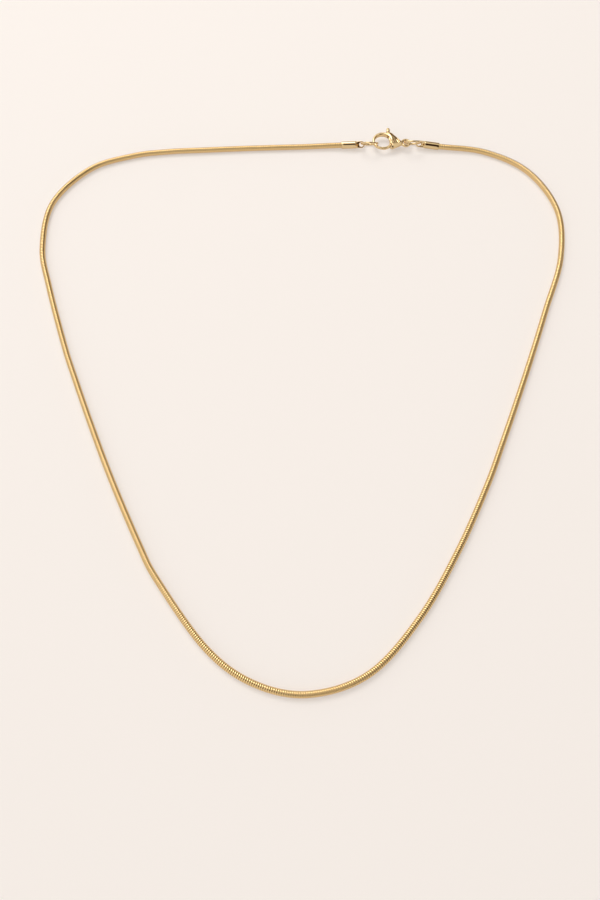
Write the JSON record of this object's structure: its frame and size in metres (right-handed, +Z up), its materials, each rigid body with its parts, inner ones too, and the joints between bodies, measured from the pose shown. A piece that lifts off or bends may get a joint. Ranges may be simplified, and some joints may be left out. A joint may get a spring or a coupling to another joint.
{
  "type": "snake chain necklace",
  "caption": "Closed round snake chain necklace with end caps, jump rings and a sprung lobster clasp, laid out flat as an open neck loop.",
  "frame": {"origin": "centre of the bounding box's base, on the surface that the necklace lies on", "axes": "+Z up from the surface, +Y from the front of the loop to the clasp at the back of the neck, +X to the right seen from above with the clasp at the top"},
  "size_m": [0.1358, 0.1524, 0.0041],
  "materials": {
    "chain_gold": "polished yellow gold tone",
    "findings_gold": "mirror polished pale gold tone"
  },
  "bodies": {
    "necklace": {"snake_chain": "chain_gold", "end_cap_left": "findings_gold", "end_cap_right": "findings_gold", "jump_ring_left": "findings_gold", "jump_ring_right": "findings_gold", "clasp_body": "findings_gold", "clasp_rivet": "findings_gold"},
    "clasp_lever": {"clasp_lever": "findings_gold"}
  },
  "joints": [
    {"name": "clasp_lever_pivot", "type": "hinge", "parent": "necklace", "child": "clasp_lever", "pos_m": [0.02429, 0.07093, 0.00156], "axis": [0, 0, -1], "range_deg": [0, 22], "stiffness_Nm_per_rad": 0.004}
  ]
}
